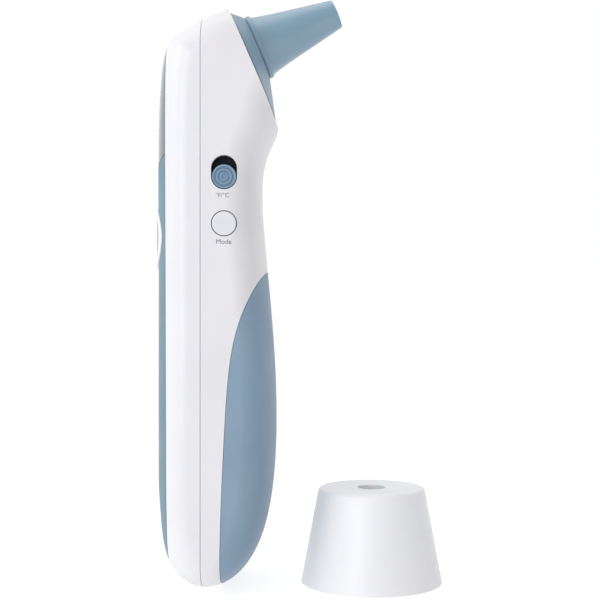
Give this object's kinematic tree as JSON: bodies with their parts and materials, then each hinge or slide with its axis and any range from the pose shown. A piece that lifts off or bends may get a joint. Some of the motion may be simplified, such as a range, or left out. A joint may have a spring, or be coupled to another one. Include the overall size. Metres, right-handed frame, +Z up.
{
  "type": "digital thermometer",
  "caption": "Handheld infrared thermometer for ear and forehead, with an angled conical probe, side slider and button, rear battery cover and a separate forehead cap.",
  "frame": {"origin": "centre of the whole object's footprint, on the surface that the thermometer's foot and the cap's rim stand on", "axes": "+Z up along the handle, -X the display side, +X the side the probe points to and the cap stands on, -Y the side with the slider and the mode button"},
  "size_m": [0.0765, 0.0381, 0.1565],
  "materials": {
    "white_shell": "fine satin moulded ABS",
    "white_cap": "fine satin moulded ABS",
    "blue_grip": "soft satin blue-grey",
    "blue_probe": "satin blue-grey",
    "blue_knob": "satin blue-grey",
    "display_lens": "smoked gloss acrylic",
    "button_white": "satin white",
    "infrared_window": "coated silicon",
    "sensor_metal": "plated",
    "inner_plastic": "moulded",
    "ribbon_film": "polyimide film",
    "switch_body": "moulded",
    "black_plastic": "moulded",
    "circuit_board": "solder mask",
    "display_glass": "display cell",
    "black_rubber": "silicone",
    "light_guide": "milky acrylic",
    "cell_jacket": "printed film",
    "contact_metal": "nickel plate",
    "lead_insulation": "vinyl",
    "screw_steel": "zinc plate"
  },
  "bodies": {
    "casing": {"front_shell": "white_shell", "rear_shell": "white_shell", "front_panel": "blue_grip", "display_lens": "display_lens", "probe_collar": "blue_probe", "probe_cone": "blue_probe", "probe_window": "infrared_window", "sensor_tube": "sensor_metal", "thermopile_sensor": "sensor_metal", "sensor_holder": "inner_plastic", "sensor_ribbon": "ribbon_film", "scan_switch": "switch_body", "mode_switch": "switch_body", "unit_switch": "sensor_metal", "side_board": "circuit_board", "lcd_glass": "display_glass", "lcd_frame": "inner_plastic", "lcd_connector_strips": "black_rubber", "backlight_plate": "light_guide", "main_board": "circuit_board", "controller_chips": "black_plastic", "buzzer": "black_plastic", "batteries": "cell_jacket", "battery_springs": "contact_metal", "battery_contacts": "contact_metal", "battery_tray": "inner_plastic", "battery_leads": "lead_insulation", "case_screws": "screw_steel", "board_screws": "screw_steel"},
    "scan_button": {"scan_button": "button_white", "scan_switch_plunger": "switch_body"},
    "mode_button": {"mode_button": "button_white", "mode_switch_plunger": "switch_body"},
    "unit_slider": {"unit_slider": "blue_knob", "slider_carriage": "black_plastic", "unit_switch_lever": "black_plastic"},
    "battery_cover": {"battery_cover": "blue_grip"},
    "forehead_cap": {"forehead_cap": "white_cap"}
  },
  "joints": [
    {"name": "scan_press", "type": "slide", "parent": "casing", "child": "scan_button", "axis": [1, 0, 0], "range_m": [0, 0.0008], "stiffness_N_per_m": 900},
    {"name": "mode_press", "type": "slide", "parent": "casing", "child": "mode_button", "axis": [0, 1, 0], "range_m": [0, 0.0007], "stiffness_N_per_m": 700},
    {"name": "unit_slide", "type": "slide", "parent": "casing", "child": "unit_slider", "axis": [0, 0, 1], "range_m": [0, 0.00215]},
    {"name": "cover_slide", "type": "slide", "parent": "casing", "child": "battery_cover", "axis": [0.12, 0, -0.9928], "range_m": [0, 0.045]},
    {"name": "cap_lift", "type": "slide", "parent": "casing", "child": "forehead_cap", "axis": [0, 0, 1], "range_m": [0, 0.06]}
  ]
}
